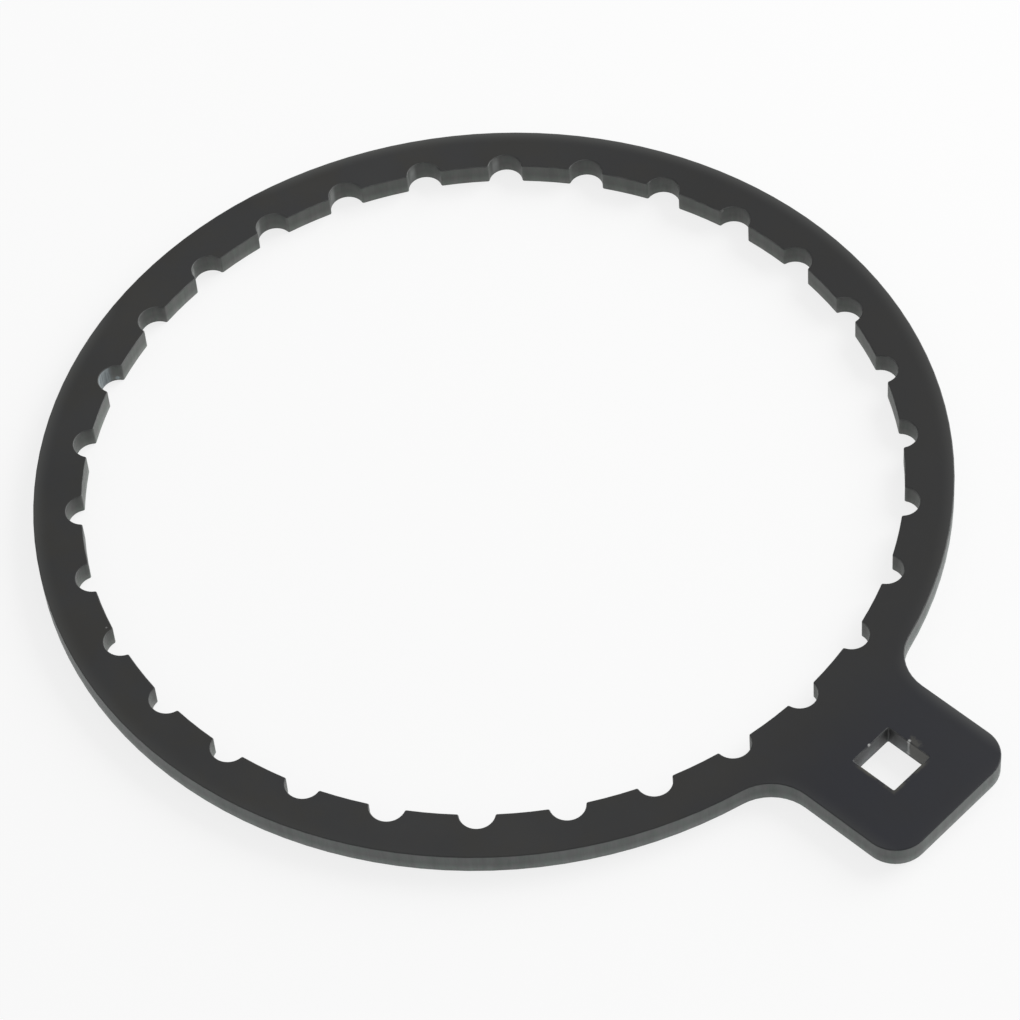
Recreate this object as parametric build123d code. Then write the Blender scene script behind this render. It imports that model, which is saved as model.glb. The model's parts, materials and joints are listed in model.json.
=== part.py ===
from build123d import *
import os

# Filter housing wrench: one flat steel plate, cut to shape and coated.
# The ring slips over a round filter housing, whose ribs sit in the notches round its bore.
# The tab beside the ring holds a square hole for the drive of a handle.
# Millimetres, +Z up. The origin is on the ring's axis, at the underside of the plate.
# +X runs along the middle of the tab.

plate_thickness = 6.0

# The ring. Its bore is measured to the lands between the notches.
ring_bore_r = 105.0
ring_band = 12.5

# The notches reach past the bore by their depth. The lips are the lands' corners.
notch_count = 30
notch_r = 4.5
notch_depth = 4.1
notch_lip_r = 0.5

# The tab. Its roots are the hollow corners where it leaves the ring.
tab_width = 43.0
tab_corner_r = 8.5
tab_root_r = 12.5

# The square hole for a half-inch drive. Its centre is placed from the ring's outer edge,
# and the tab's free end from that centre.
drive_key = 12.7
drive_clearance = 0.3
drive_corner_r = 0.4
drive_from_ring = 16.5
drive_to_tab_end = 21.0

# The softening of every cut edge on both faces.
edge_r = 0.3

ring_outer_r = ring_bore_r + ring_band
drive_hole = drive_key + drive_clearance
drive_x = ring_outer_r + drive_from_ring
tab_end_x = drive_x + drive_to_tab_end


def blank():
    """The ring's disc with its tab, whose free corners and two roots are rounded."""
    with BuildSketch() as outline:
        Circle(ring_outer_r)
        with Locations((tab_end_x / 2, 0)):
            Rectangle(tab_end_x, tab_width)
        roots = outline.vertices().sort_by(Axis.X)[:-2]
        fillet(roots, tab_root_r)
        free_corners = outline.vertices().sort_by(Axis.X)[-2:]
        fillet(free_corners, tab_corner_r)
    return outline.sketch


def ring_opening():
    """The bore and its even round of notches, one of them on the tab's middle line.

    Each notch is the end of a slot that runs out of the bore, so a deeper notch has
    straight sides. Growing the opening and shrinking it back rounds the lips of the
    lands between the notches, and nothing else.
    """
    with BuildSketch() as opening:
        Circle(ring_bore_r)
        with PolarLocations(ring_bore_r + notch_depth - 2 * notch_r, notch_count):
            SlotCenterToCenter(2 * notch_r, 2 * notch_r)
        offset(amount=notch_lip_r)
        offset(amount=-notch_lip_r)
    return opening.sketch


def drive_opening():
    """The square hole for the handle's drive, its sides along and across the tab."""
    with BuildSketch() as opening:
        with Locations((drive_x, 0)):
            RectangleRounded(drive_hole, drive_hole, drive_corner_r)
    return opening.sketch


def wrench_plate():
    """The cut plate, with the edges of both faces softened all round."""
    with BuildPart() as plate:
        with BuildSketch():
            add(blank())
            add(ring_opening(), mode=Mode.SUBTRACT)
            add(drive_opening(), mode=Mode.SUBTRACT)
        extrude(amount=plate_thickness)
        fillet(plate.faces().filter_by(Axis.Z).edges(), edge_r)
    return plate.part


os.makedirs("parts", exist_ok=True)
export_step(wrench_plate(), "parts/wrench_plate.step")
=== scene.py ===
import json
import math

import bmesh
import bpy
from mathutils import Matrix, Vector


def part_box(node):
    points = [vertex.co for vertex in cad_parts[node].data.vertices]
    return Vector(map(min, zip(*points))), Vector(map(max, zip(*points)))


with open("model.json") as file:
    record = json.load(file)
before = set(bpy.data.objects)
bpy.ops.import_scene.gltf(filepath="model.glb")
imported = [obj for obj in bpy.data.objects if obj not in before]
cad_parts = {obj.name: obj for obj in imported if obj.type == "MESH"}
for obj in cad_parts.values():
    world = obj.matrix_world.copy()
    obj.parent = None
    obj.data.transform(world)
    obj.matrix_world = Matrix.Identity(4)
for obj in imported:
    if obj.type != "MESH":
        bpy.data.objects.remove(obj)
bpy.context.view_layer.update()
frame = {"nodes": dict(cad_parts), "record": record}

# The wrench plate. One flat ring of steel with a tab, cut out in one piece by a hot beam.
# The beam leaves fine upright streaks on the cut faces, which are coloured lighter than the two flats: partly a
# thinner coat on the cut, partly painted light from the sides.
# The plate is powder coated all over in satin black, which softens every edge.
plate = frame["nodes"]["wrench_plate"]
plate_low, plate_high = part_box("wrench_plate")
plate_thickness = plate_high.z - plate_low.z
mounts = {mount["name"]: mount for mount in frame["record"]["mounts"]}
bore_radius = mounts["housing_ring"]["dims"]["r_mm"] / 1000
drive_centre = Vector(mounts["drive_socket"]["pos_m"])
drive_half_side = 0.0065
notch_radius = 0.0045
notch_depth = 0.0041
notch_centre_radius = bore_radius + notch_depth - notch_radius
notch_step = math.radians(12.0)
tab_half_width = 0.0215


def add(tree, kind, inputs, **settings):
    """Adds a node. Each input takes a plain value, or the output of another node."""
    made = tree.nodes.new(kind)
    for name, value in settings.items():
        setattr(made, name, value)
    for name, value in inputs.items():
        if isinstance(value, bpy.types.NodeSocket):
            tree.links.new(value, made.inputs[name])
        else:
            made.inputs[name].default_value = value
    return made


def calculate(tree, operation, first, second=0.0):
    """A sum, product, power or other plain arithmetic of two values."""
    return add(tree, "ShaderNodeMath", {0: first, 1: second}, operation=operation).outputs[0]


def fade(tree, value, start, end):
    """A soft mask: 0 where the value is at start, 1 where it is at end."""
    limits = {"Value": value, "From Min": start, "From Max": end}
    return add(tree, "ShaderNodeMapRange", limits, interpolation_type="SMOOTHSTEP").outputs["Result"]


def spread(tree, value, low, high):
    """Takes a 0 to 1 value to the range from low to high."""
    limits = {"Value": value, "To Min": low, "To Max": high}
    return add(tree, "ShaderNodeMapRange", limits).outputs["Result"]


def noise(tree, place, cells_per_metre, detail=2.0, roughness=0.5):
    """Soft random patches, from 0 to 1, of that many cells to the metre."""
    inputs = {"Vector": place, "Scale": cells_per_metre, "Detail": detail, "Roughness": roughness}
    return add(tree, "ShaderNodeTexNoise", inputs).outputs["Fac"]


def blend(tree, amount, first, second):
    """The first colour where the amount is 0, and the second where it is 1."""
    inputs = {0: amount, 6: first, 7: second}
    return add(tree, "ShaderNodeMix", inputs, data_type="RGBA").outputs[2]


def tint(tree, colour, by):
    """A colour multiplied by another."""
    inputs = {0: 1.0, 6: colour, 7: by}
    return add(tree, "ShaderNodeMix", inputs, data_type="RGBA", blend_type="MULTIPLY").outputs[2]


def strengthen(tree, colour, factor):
    """A colour made lighter or darker by a factor."""
    return add(tree, "ShaderNodeVectorMath", {0: colour, "Scale": factor}, operation="SCALE").outputs["Vector"]


def round_spot(tree, place, centre, full, none):
    """A soft round mask: 1 as far as full from a point, and 0 beyond none."""
    inputs = {0: place, 1: centre}
    distance = add(tree, "ShaderNodeVectorMath", inputs, operation="DISTANCE").outputs["Value"]
    return fade(tree, distance, none, full)


def new_group(name, inputs, outputs):
    """An empty node group with named inputs and outputs, and its two end nodes."""
    group = bpy.data.node_groups.new(name, "ShaderNodeTree")
    for socket, kind in inputs.items():
        group.interface.new_socket(socket, in_out="INPUT", socket_type="NodeSocket" + kind)
    for socket, kind in outputs.items():
        group.interface.new_socket(socket, in_out="OUTPUT", socket_type="NodeSocket" + kind)
    return group, group.nodes.new("NodeGroupInput"), group.nodes.new("NodeGroupOutput")


def use_group(tree, group, inputs):
    """Places a node group in a material."""
    made = tree.nodes.new("ShaderNodeGroup")
    made.node_tree = group
    for name, value in inputs.items():
        if isinstance(value, bpy.types.NodeSocket):
            tree.links.new(value, made.inputs[name])
        else:
            made.inputs[name].default_value = value
    return made


def weighted(tree, first, first_share, second):
    """Two values mixed, the first in the given share."""
    first_part = calculate(tree, "MULTIPLY", first, first_share)
    second_part = calculate(tree, "MULTIPLY", second, 1.0 - first_share)
    return calculate(tree, "ADD", first_part, second_part)


def powder_grain():
    """The skin of a baked powder coat: a slow orange peel under a fine grain."""
    group, given, result = new_group(
        "powder_grain", {"Place": "Vector"}, {"Height": "Float", "Tone": "Float", "Warmth": "Float"})
    place = given.outputs["Place"]
    peel = noise(group, place, 620.0, 1.0)
    grain = noise(group, place, 3800.0, 2.0, 0.6)
    clouds = noise(group, place, 45.0, 4.0, 0.55)
    patches = noise(group, place, 75.0, 3.0, 0.6)
    group.links.new(weighted(group, peel, 0.7, grain), result.inputs["Height"])
    group.links.new(weighted(group, clouds, 0.6, grain), result.inputs["Tone"])
    group.links.new(fade(group, patches, 0.35, 0.65), result.inputs["Warmth"])
    return group


def cut_streaks():
    """The upright streaks of the cut: noise drawn out along the thickness, and a blotchy tone."""
    group, given, result = new_group(
        "cut_streaks", {"Place": "Vector"}, {"Height": "Float", "Tone": "Float", "Blotches": "Float"})
    place = given.outputs["Place"]
    upright = add(group, "ShaderNodeMapping", {"Vector": place, "Scale": (1.0, 1.0, 0.09)}).outputs["Vector"]
    leaning = add(group, "ShaderNodeMapping", {
        "Vector": place, "Rotation": (0.12, 0.0, 0.0), "Scale": (1.0, 1.0, 0.14)}).outputs["Vector"]
    fine = noise(group, upright, 2100.0, 3.0, 0.6)
    broad = noise(group, leaning, 420.0, 2.0, 0.5)
    blotches = noise(group, place, 560.0, 3.0, 0.6)
    group.links.new(weighted(group, fine, 0.55, broad), result.inputs["Height"])
    group.links.new(weighted(group, fine, 0.35, broad), result.inputs["Tone"])
    group.links.new(fade(group, blotches, 0.35, 0.65), result.inputs["Blotches"])
    return group


def dust():
    """A few pale specks of dust, each a small part of a millimetre across."""
    group, given, result = new_group(
        "dust", {"Place": "Vector", "Cells per metre": "Float", "Share": "Float"}, {"Mask": "Float"})
    cells = add(group, "ShaderNodeTexVoronoi", {
        "Vector": given.outputs["Place"], "Scale": given.outputs["Cells per metre"]})
    chosen = add(group, "ShaderNodeSeparateColor", {"Color": cells.outputs["Color"]})
    picked = calculate(group, "LESS_THAN", chosen.outputs["Red"], given.outputs["Share"])
    size = spread(group, chosen.outputs["Green"], 0.03, 0.07)
    inside = calculate(group, "LESS_THAN", cells.outputs["Distance"], size)
    group.links.new(calculate(group, "MULTIPLY", picked, inside), result.inputs["Mask"])
    return group


def inside_outline(tree, at, radius):
    """How far a place lies inside the ring's rim, the tab's sides, the tab's end and the whole outline."""
    root_blend = 0.023
    ring = calculate(tree, "SUBTRACT", plate_high.y, radius)
    sides = calculate(tree, "SUBTRACT", tab_half_width, calculate(tree, "ABSOLUTE", at.outputs["Y"]))
    end = calculate(tree, "SUBTRACT", plate_high.x, at.outputs["X"])
    joined = {0: ring, 1: calculate(tree, "MINIMUM", sides, end), 2: root_blend}
    outline = add(tree, "ShaderNodeMath", joined, operation="SMOOTH_MAX").outputs[0]
    return ring, sides, end, outline


def near_rim(tree, outline, width):
    """1 on the outer rim, falling to 0 at that width inside it."""
    inward = calculate(tree, "DIVIDE", outline, width)
    return calculate(tree, "MAXIMUM", calculate(tree, "SUBTRACT", 1.0, inward), 0.0)


def rolled_rim(tree, outline):
    """The height of the flats near the outer rim, where the edge rolls very gently over."""
    roll_width = 0.0038
    roll_slope = 0.06
    drop = calculate(tree, "POWER", near_rim(tree, outline, roll_width), 3.0)
    return calculate(tree, "MULTIPLY", drop, -roll_slope * roll_width / 3)


def rim_highlight(tree, at, radius, inside, colour):
    """A painted highlight along the outer rim of the flats, strongest on one side of the plate."""
    rim_highlight_colour = (0.074, 0.076, 0.073, 1.0)
    rim_highlight_width = 0.0040
    brightest = math.radians(162.0)
    ring, sides, end, outline = inside
    along_x = calculate(tree, "MULTIPLY", at.outputs["X"], math.cos(brightest))
    along_y = calculate(tree, "MULTIPLY", at.outputs["Y"], math.sin(brightest))
    on_ring = calculate(tree, "DIVIDE", calculate(tree, "ADD", along_x, along_y), radius)
    on_sides = calculate(tree, "MULTIPLY", calculate(tree, "SIGN", at.outputs["Y"]), math.sin(brightest))
    at_end = calculate(tree, "LESS_THAN", end, sides)
    on_tab = add(tree, "ShaderNodeMix", {0: at_end, 2: on_sides, 3: math.cos(brightest)}).outputs[0]
    is_tab = fade(tree, at.outputs["X"], 0.112, 0.120)
    facing = add(tree, "ShaderNodeMix", {0: is_tab, 2: on_ring, 3: on_tab}).outputs[0]
    share = add(tree, "ShaderNodeMapRange", {"Value": facing, "From Min": -1.0, "From Max": 1.0}).outputs["Result"]
    # Painted highlight: the flats grow lighter towards the outer rim, most on one side.
    rim = calculate(tree, "POWER", near_rim(tree, outline, rim_highlight_width), 2.0)
    return blend(tree, calculate(tree, "MULTIPLY", rim, share), colour, rim_highlight_colour)


def flat_colour(tree, at, grain):
    """The two flats: near black, with painted shade darkening them towards one side, and bluer on the tab."""
    ring_colour = (0.0248, 0.0248, 0.0241, 1.0)
    painted_shade_colour = (0.0066, 0.0066, 0.0065, 1.0)
    tab_colour = (0.0044, 0.0054, 0.0106, 1.0)
    most_shaded = math.radians(52.0)
    across = calculate(tree, "MULTIPLY", at.outputs["X"], math.cos(most_shaded))
    along = calculate(tree, "MULTIPLY", at.outputs["Y"], math.sin(most_shaded))
    # Painted shade: the flats grow darker towards one side of the plate.
    painted_shade_side = fade(tree, calculate(tree, "ADD", across, along), -0.045, 0.13)
    colour = blend(tree, painted_shade_side, ring_colour, painted_shade_colour)
    colour = blend(tree, fade(tree, at.outputs["X"], 0.102, 0.132), colour, tab_colour)
    colour = tint(tree, colour, blend(
        tree, grain.outputs["Warmth"], (0.97, 0.99, 1.05, 1.0), (1.04, 1.01, 0.94, 1.0)))
    return strengthen(tree, colour, spread(tree, fade(tree, grain.outputs["Tone"], 0.3, 0.7), 0.90, 1.10))


def cut_colour(tree, at, radius, drive_rim, streaks):
    """The cut faces: lighter than the flats, partly from a thinner coat and partly as painted light from the
    sides, and lightest along the lower edge, painted as light from below over a rougher cut.
    """
    outer_colour = (0.119, 0.128, 0.124, 1.0)
    bore_colour = (0.087, 0.093, 0.087, 1.0)
    notch_colour = (0.080, 0.085, 0.080, 1.0)
    drive_colour = (0.072, 0.075, 0.077, 1.0)
    height = at.outputs["Z"]
    in_bore = fade(tree, radius, bore_radius + 0.0060, bore_radius + 0.0045)
    in_notch = calculate(tree, "MULTIPLY", in_bore, fade(tree, radius, bore_radius + 0.0003, bore_radius + 0.0012))
    in_drive = fade(tree, drive_rim, 0.0020, 0.0010)
    colour = blend(tree, in_bore, outer_colour, bore_colour)
    colour = blend(tree, in_notch, colour, notch_colour)
    colour = blend(tree, in_drive, colour, drive_colour)
    # Painted light: the cut faces grow lighter towards the lower edge, as if lit from below, and far more so
    # inside the square hole.
    lower_edge_light = spread(tree, fade(tree, height, 0.0032, 0.0), 1.0, 1.9)
    drive_lower_edge_light = spread(tree, fade(tree, height, 0.0046, 0.0008), 1.0, 3.2)
    deep_rim = spread(tree, fade(tree, height, 0.0034, plate_thickness), 1.0, 0.72)
    edged = strengthen(tree, colour, lower_edge_light)
    edged = blend(tree, in_notch, edged, strengthen(tree, edged, deep_rim))
    edged = blend(tree, in_drive, edged, strengthen(tree, colour, drive_lower_edge_light))
    colour = tint(tree, edged, blend(
        tree, streaks.outputs["Blotches"], (1.04, 0.985, 1.01, 1.0), (0.95, 1.02, 0.98, 1.0)))
    return strengthen(tree, colour, spread(tree, fade(tree, streaks.outputs["Tone"], 0.3, 0.7), 0.87, 1.14))


def drive_rim_wear(tree, place, off_drive, drive_rim, colour):
    """The worn rim on two sides of the square hole: a narrow, patchy band, greyer than the coat."""
    worn_colour = (0.058, 0.056, 0.045, 1.0)
    band = fade(tree, drive_rim, 0.0013, 0.0003)
    towards_end = calculate(tree, "SUBTRACT", off_drive.outputs["X"], off_drive.outputs["Y"])
    worn_sides = fade(tree, towards_end, 0.0010, 0.0040)
    patchy = fade(tree, noise(tree, place, 260.0, 3.0, 0.6), 0.36, 0.58)
    mask = calculate(tree, "MULTIPLY", calculate(tree, "MULTIPLY", band, patchy), worn_sides)
    return blend(tree, mask, colour, worn_colour)


def drive_corner_shade(tree, place, colour):
    """Painted shade in two corners of the square hole, darkening the cut faces around them."""
    for side, darkest in ((1.0, 0.25), (-1.0, 0.45)):
        corner = drive_centre + Vector((-drive_half_side, side * drive_half_side, -plate_thickness / 2))
        corner_shade = round_spot(tree, place, corner, 0.0016, 0.0052)
        colour = strengthen(tree, colour, spread(tree, corner_shade, 1.0, darkest))
    return colour


def heat_stain(tree, place, off_drive, flat, cut):
    """The brown heat stain beside the square hole's seam, over its rim and a little way out."""
    stained_flat = (0.050, 0.049, 0.043, 1.0)
    stained_cut = (0.125, 0.124, 0.108, 1.0)
    flat_patch = ((0.0011, 0.0072), (0.0015, 0.0009))
    cut_patch = ((0.0036, 0.0065), (0.0031, 0.0012))
    ragged = calculate(tree, "MULTIPLY", noise(tree, place, 900.0, 3.0, 0.65), 0.0022)
    stained = []
    for colour, patch, stain_colour in ((flat, flat_patch, stained_flat), (cut, cut_patch, stained_cut)):
        beyond = []
        for axis, centre, half in zip("XY", patch[0], patch[1]):
            apart = calculate(tree, "ABSOLUTE", calculate(tree, "SUBTRACT", off_drive.outputs[axis], centre))
            beyond.append(calculate(tree, "SUBTRACT", apart, half))
        outline = calculate(tree, "ADD", calculate(tree, "MAXIMUM", beyond[0], beyond[1]), ragged)
        mask = calculate(tree, "MULTIPLY", fade(tree, outline, 0.0018, 0.0006), 0.85)
        stained.append(blend(tree, mask, colour, stain_colour))
    return stained


def drive_seam(tree, place, off_drive, colour):
    """Where the beam came in beside the square hole: an upright seam with a bead at each end and a speck of
    spatter, all painted pale as a glint.
    """
    seam_glint_colour = (0.72, 0.73, 0.72, 1.0)
    seam_x = -0.0001
    seam_half_width = 0.00032
    wander = calculate(tree, "MULTIPLY", noise(tree, place, 420.0, 2.0), 0.0006)
    beside = calculate(tree, "SUBTRACT", off_drive.outputs["X"], seam_x - 0.0003)
    apart = calculate(tree, "ABSOLUTE", calculate(tree, "SUBTRACT", beside, wander))
    on_wall = fade(tree, off_drive.outputs["Y"], 0.0060, 0.0063)
    ended = fade(tree, off_drive.outputs["Y"], 0.0074, 0.0069)
    line = fade(tree, apart, seam_half_width * 1.5, seam_half_width * 0.5)
    line = calculate(tree, "MULTIPLY", line, 0.55)
    mask = calculate(tree, "MULTIPLY", line, calculate(tree, "MULTIPLY", on_wall, ended))
    for height in (0.0013, 0.0056):
        bead = drive_centre + Vector((seam_x, drive_half_side, height - drive_centre.z))
        mask = calculate(tree, "MAXIMUM", mask, round_spot(tree, place, bead, 0.0002, 0.0007))
    spatter = drive_centre + Vector((-drive_half_side, -0.0005, -0.0001))
    mask = calculate(tree, "MAXIMUM", mask, round_spot(tree, place, spatter, 0.0001, 0.0006))
    # The seam, beads and spatter are painted pale as a glint.
    return blend(tree, mask, colour, seam_glint_colour)


def flank_highlights(tree, place, flattened, at, colour):
    """A painted highlight on one flank of six notches side by side, strongest on the lower half of the flank."""
    pale_rub_and_highlight_colour = (0.26, 0.27, 0.265, 1.0)
    flank_lead = math.radians(40.0)
    mask = None
    for notch in range(11, 17):
        notch_angle = notch * notch_step
        flank_angle = notch_angle + flank_lead
        middle = Vector((math.cos(notch_angle), math.sin(notch_angle), 0.0)) * notch_centre_radius
        middle += Vector((math.cos(flank_angle), math.sin(flank_angle), 0.0)) * notch_radius
        flank = round_spot(tree, flattened.outputs["Vector"], middle, 0.0003, 0.0016)
        mask = flank if mask is None else calculate(tree, "MAXIMUM", mask, flank)
    lower_part = spread(tree, fade(tree, at.outputs["Z"], plate_thickness, plate_thickness / 2), 0.25, 0.85)
    # Painted highlight on the notch flanks.
    return blend(tree, calculate(tree, "MULTIPLY", mask, lower_part), colour, pale_rub_and_highlight_colour)


def notch_rub_and_highlight(tree, place, colour):
    """One notch is rubbed on one side, where the coat has gone thin over scratched steel; the pale patch is also a
    painted reflection, and a small bead below it is painted pale as a glint.
    """
    pale_rub_and_highlight_colour = (0.29, 0.335, 0.35, 1.0)
    scratch_colour = (0.19, 0.22, 0.235, 1.0)
    notch_angle = 17 * notch_step
    rub_angle = notch_angle - math.radians(2.0)
    notch_axis = Vector((math.cos(notch_angle), math.sin(notch_angle), 0.0)) * notch_centre_radius
    rub_middle = notch_axis + Vector((math.cos(rub_angle), math.sin(rub_angle), 0.0)) * notch_radius
    flattened = add(tree, "ShaderNodeVectorMath", {0: place, 1: (1.0, 1.0, 0.0)}, operation="MULTIPLY")
    rub = round_spot(tree, flattened.outputs["Vector"], rub_middle, 0.0024, 0.0040)
    scratches = add(tree, "ShaderNodeMapping", {
        "Vector": place, "Rotation": (0.0, 0.7, 0.0), "Scale": (1.0, 1.0, 0.12)})
    scratched = fade(tree, noise(tree, scratches.outputs["Vector"], 1900.0, 2.0, 0.6), 0.42, 0.62)
    mask = calculate(tree, "MULTIPLY", rub, spread(tree, noise(tree, place, 500.0, 2.0), 0.55, 1.0))
    # Painted reflection over the real rub and scratches.
    colour = blend(tree, mask, colour, blend(tree, scratched, pale_rub_and_highlight_colour, scratch_colour))
    bead_angle = notch_angle - math.radians(66.0)
    bead = notch_axis + Vector((math.cos(bead_angle), math.sin(bead_angle), 0.0)) * notch_radius
    bead.z = 0.0011
    return blend(tree, round_spot(tree, place, bead, 0.0002, 0.0009), colour, pale_rub_and_highlight_colour)


def black_coat():
    """Satin black powder coat on the cut steel plate."""
    edge_colour = (0.088, 0.091, 0.089, 1.0)
    dust_colour = (0.15, 0.15, 0.145, 1.0)
    coat = bpy.data.materials.new("black_coat")
    coat.use_nodes = True
    tree = coat.node_tree
    shader = tree.nodes["Principled BSDF"]
    surface = add(tree, "ShaderNodeTexCoord", {})
    place = surface.outputs["Object"]
    at = add(tree, "ShaderNodeSeparateXYZ", {"Vector": place})
    facing = add(tree, "ShaderNodeSeparateXYZ", {"Vector": surface.outputs["Normal"]})
    tilt = calculate(tree, "ABSOLUTE", facing.outputs["Z"])
    wall = fade(tree, tilt, 0.75, 0.15)
    edge = calculate(tree, "MULTIPLY", fade(tree, tilt, 0.999, 0.9), fade(tree, tilt, 0.1, 0.5))
    flattened = add(tree, "ShaderNodeVectorMath", {0: place, 1: (1.0, 1.0, 0.0)}, operation="MULTIPLY")
    radius = add(tree, "ShaderNodeVectorMath", {0: flattened.outputs[0]}, operation="LENGTH").outputs["Value"]
    from_drive = add(tree, "ShaderNodeVectorMath", {0: place, 1: drive_centre}, operation="SUBTRACT")
    off_drive = add(tree, "ShaderNodeSeparateXYZ", {"Vector": from_drive.outputs["Vector"]})
    from_middle = calculate(tree, "MAXIMUM", calculate(tree, "ABSOLUTE", off_drive.outputs["X"]),
                            calculate(tree, "ABSOLUTE", off_drive.outputs["Y"]))
    drive_rim = calculate(tree, "SUBTRACT", from_middle, drive_half_side)

    grain = use_group(tree, powder_grain(), {"Place": place})
    streaks = use_group(tree, cut_streaks(), {"Place": place})
    specks = use_group(tree, dust(), {"Place": place, "Cells per metre": 130.0, "Share": 0.05})

    inside = inside_outline(tree, at, radius)
    # Painted highlight along the outer rim of the flats.
    flat = rim_highlight(tree, at, radius, inside, flat_colour(tree, at, grain))
    flat = drive_rim_wear(tree, place, off_drive, drive_rim, flat)
    # Painted shade in two corners of the square hole.
    cut = drive_corner_shade(tree, place, cut_colour(tree, at, radius, drive_rim, streaks))
    # Painted highlights on six notch flanks, and one rubbed notch with a painted reflection.
    cut = notch_rub_and_highlight(tree, place, flank_highlights(tree, place, flattened, at, cut))
    flat, cut = heat_stain(tree, place, off_drive, flat, cut)
    colour = drive_seam(tree, place, off_drive, blend(tree, wall, flat, cut))
    wear = spread(tree, fade(tree, noise(tree, place, 300.0, 3.0), 0.40, 0.65), 0.45, 1.0)
    bare = spread(tree, fade(tree, inside[-1], 0.0040, 0.0010), 1.0, 0.2)
    wear = calculate(tree, "MULTIPLY", wear, bare)
    colour = blend(tree, calculate(tree, "MULTIPLY", edge, wear), colour, edge_colour)
    colour = blend(tree, specks.outputs["Mask"], colour, dust_colour)

    roughness = spread(tree, grain.outputs["Tone"], 0.50, 0.60)
    streak_height = calculate(tree, "MULTIPLY", streaks.outputs["Height"], wall)
    streak_bump = add(tree, "ShaderNodeBump", {"Strength": 1.0, "Distance": 0.00003, "Height": streak_height})
    rim_height = rolled_rim(tree, inside[-1])
    rim_bump = add(tree, "ShaderNodeBump", {
        "Strength": 1.0, "Distance": 1.0, "Height": rim_height, "Normal": streak_bump.outputs["Normal"]})
    grain_bump = add(tree, "ShaderNodeBump", {
        "Strength": 1.0, "Distance": 0.000012, "Height": grain.outputs["Height"],
        "Normal": rim_bump.outputs["Normal"]})
    tree.links.new(colour, shader.inputs["Base Color"])
    tree.links.new(roughness, shader.inputs["Roughness"])
    tree.links.new(grain_bump.outputs["Normal"], shader.inputs["Normal"])
    shader.inputs["IOR"].default_value = 1.45
    return coat


plate.data.materials.clear()
plate.data.materials.append(black_coat())

# The floor. A plain white table top, wide enough to fill every view.
# It is plain white in reflections, and near white to the camera with the wrench's soft shadow on it.
floor_half_side = 6.0
floor_mesh = bpy.data.meshes.new("floor")
shape = bmesh.new()
bmesh.ops.create_grid(shape, x_segments=1, y_segments=1, size=floor_half_side)
shape.to_mesh(floor_mesh)
shape.free()
floor = bpy.data.objects.new("floor", floor_mesh)
bpy.context.scene.collection.objects.link(floor)


def white_ray_share(tree, camera_share):
    """1 for rays in reflections and through glass, and the given share for the camera's own."""
    path = add(tree, "ShaderNodeLightPath", {})
    seen = calculate(tree, "MULTIPLY", path.outputs["Is Camera Ray"], camera_share)
    mirrored = calculate(tree, "MAXIMUM", path.outputs["Is Glossy Ray"], path.outputs["Is Transmission Ray"])
    return calculate(tree, "MAXIMUM", seen, mirrored)


def table_white():
    """Matt white laminate."""
    white = bpy.data.materials.new("table_white")
    white.use_nodes = True
    tree = white.node_tree
    tree.nodes.remove(tree.nodes["Principled BSDF"])
    matt = add(tree, "ShaderNodeBsdfDiffuse", {"Color": (0.92, 0.92, 0.92, 1.0)})
    plain = add(tree, "ShaderNodeEmission", {"Color": (1.0, 1.0, 1.0, 1.0), "Strength": 1.0})
    both = add(tree, "ShaderNodeMixShader", {
        0: white_ray_share(tree, 0.78), 1: matt.outputs["BSDF"], 2: plain.outputs["Emission"]})
    tree.links.new(both.outputs["Shader"], tree.nodes["Material Output"].inputs["Surface"])
    return white


floor_mesh.materials.append(table_white())

# The light. An even pale surround and one broad soft box low at the side, at a plain level.
# The box lights the cut faces that turn towards it, and lays a short soft shadow on the table.
surround_level = 0.48
world = bpy.data.worlds.new("studio")
bpy.context.scene.world = world
world.use_nodes = True
surround = world.node_tree.nodes["Background"]
surround.inputs["Color"].default_value = (1.0, 1.0, 1.0, 1.0)
surround.inputs["Strength"].default_value = surround_level
soft_box_side = 1.4
soft_box_power = 36.0
soft_box_distance = 1.77
soft_box_azimuth = math.radians(81.0)
soft_box_elevation = math.radians(25.0)
lamp = bpy.data.lights.new("soft_box", "AREA")
lamp.shape = "SQUARE"
lamp.size = soft_box_side
lamp.energy = soft_box_power
soft_box = bpy.data.objects.new("soft_box", lamp)
soft_box.location = soft_box_distance * Vector((
    math.cos(soft_box_azimuth) * math.cos(soft_box_elevation),
    math.sin(soft_box_azimuth) * math.cos(soft_box_elevation),
    math.sin(soft_box_elevation),
))
soft_box.rotation_euler = (-soft_box.location).to_track_quat("-Z", "Y").to_euler()
bpy.context.scene.collection.objects.link(soft_box)

# The camera stands beside the tab and looks down on the ring, a little tilted, as the photograph does.
camera_azimuth = math.radians(48.04)
camera_elevation = math.radians(51.94)
camera_roll = math.radians(-5.39)
camera_distance = 1.125
camera_target = Vector((0.00859, -0.00272, 0.0))
lens_mm = 155.76
sensor_mm = 36.0
camera_data = bpy.data.cameras.new("camera")
camera_data.sensor_width = sensor_mm
camera_data.lens = lens_mm
camera_data.clip_end = 50.0
camera = bpy.data.objects.new("camera", camera_data)
bpy.context.scene.collection.objects.link(camera)
view = Vector((
    -math.sin(camera_azimuth) * math.cos(camera_elevation),
    math.cos(camera_azimuth) * math.cos(camera_elevation),
    -math.sin(camera_elevation),
))
level_right = Vector((math.cos(camera_azimuth), math.sin(camera_azimuth), 0.0))
upright = level_right.cross(view)
right = math.cos(camera_roll) * level_right + math.sin(camera_roll) * upright
up = right.cross(view)
turn = Matrix((right, up, -view)).transposed()
camera.matrix_world = Matrix.Translation(camera_target - camera_distance * view) @ turn.to_4x4()
bpy.context.scene.camera = camera

bpy.context.scene.view_settings.view_transform = "Standard"
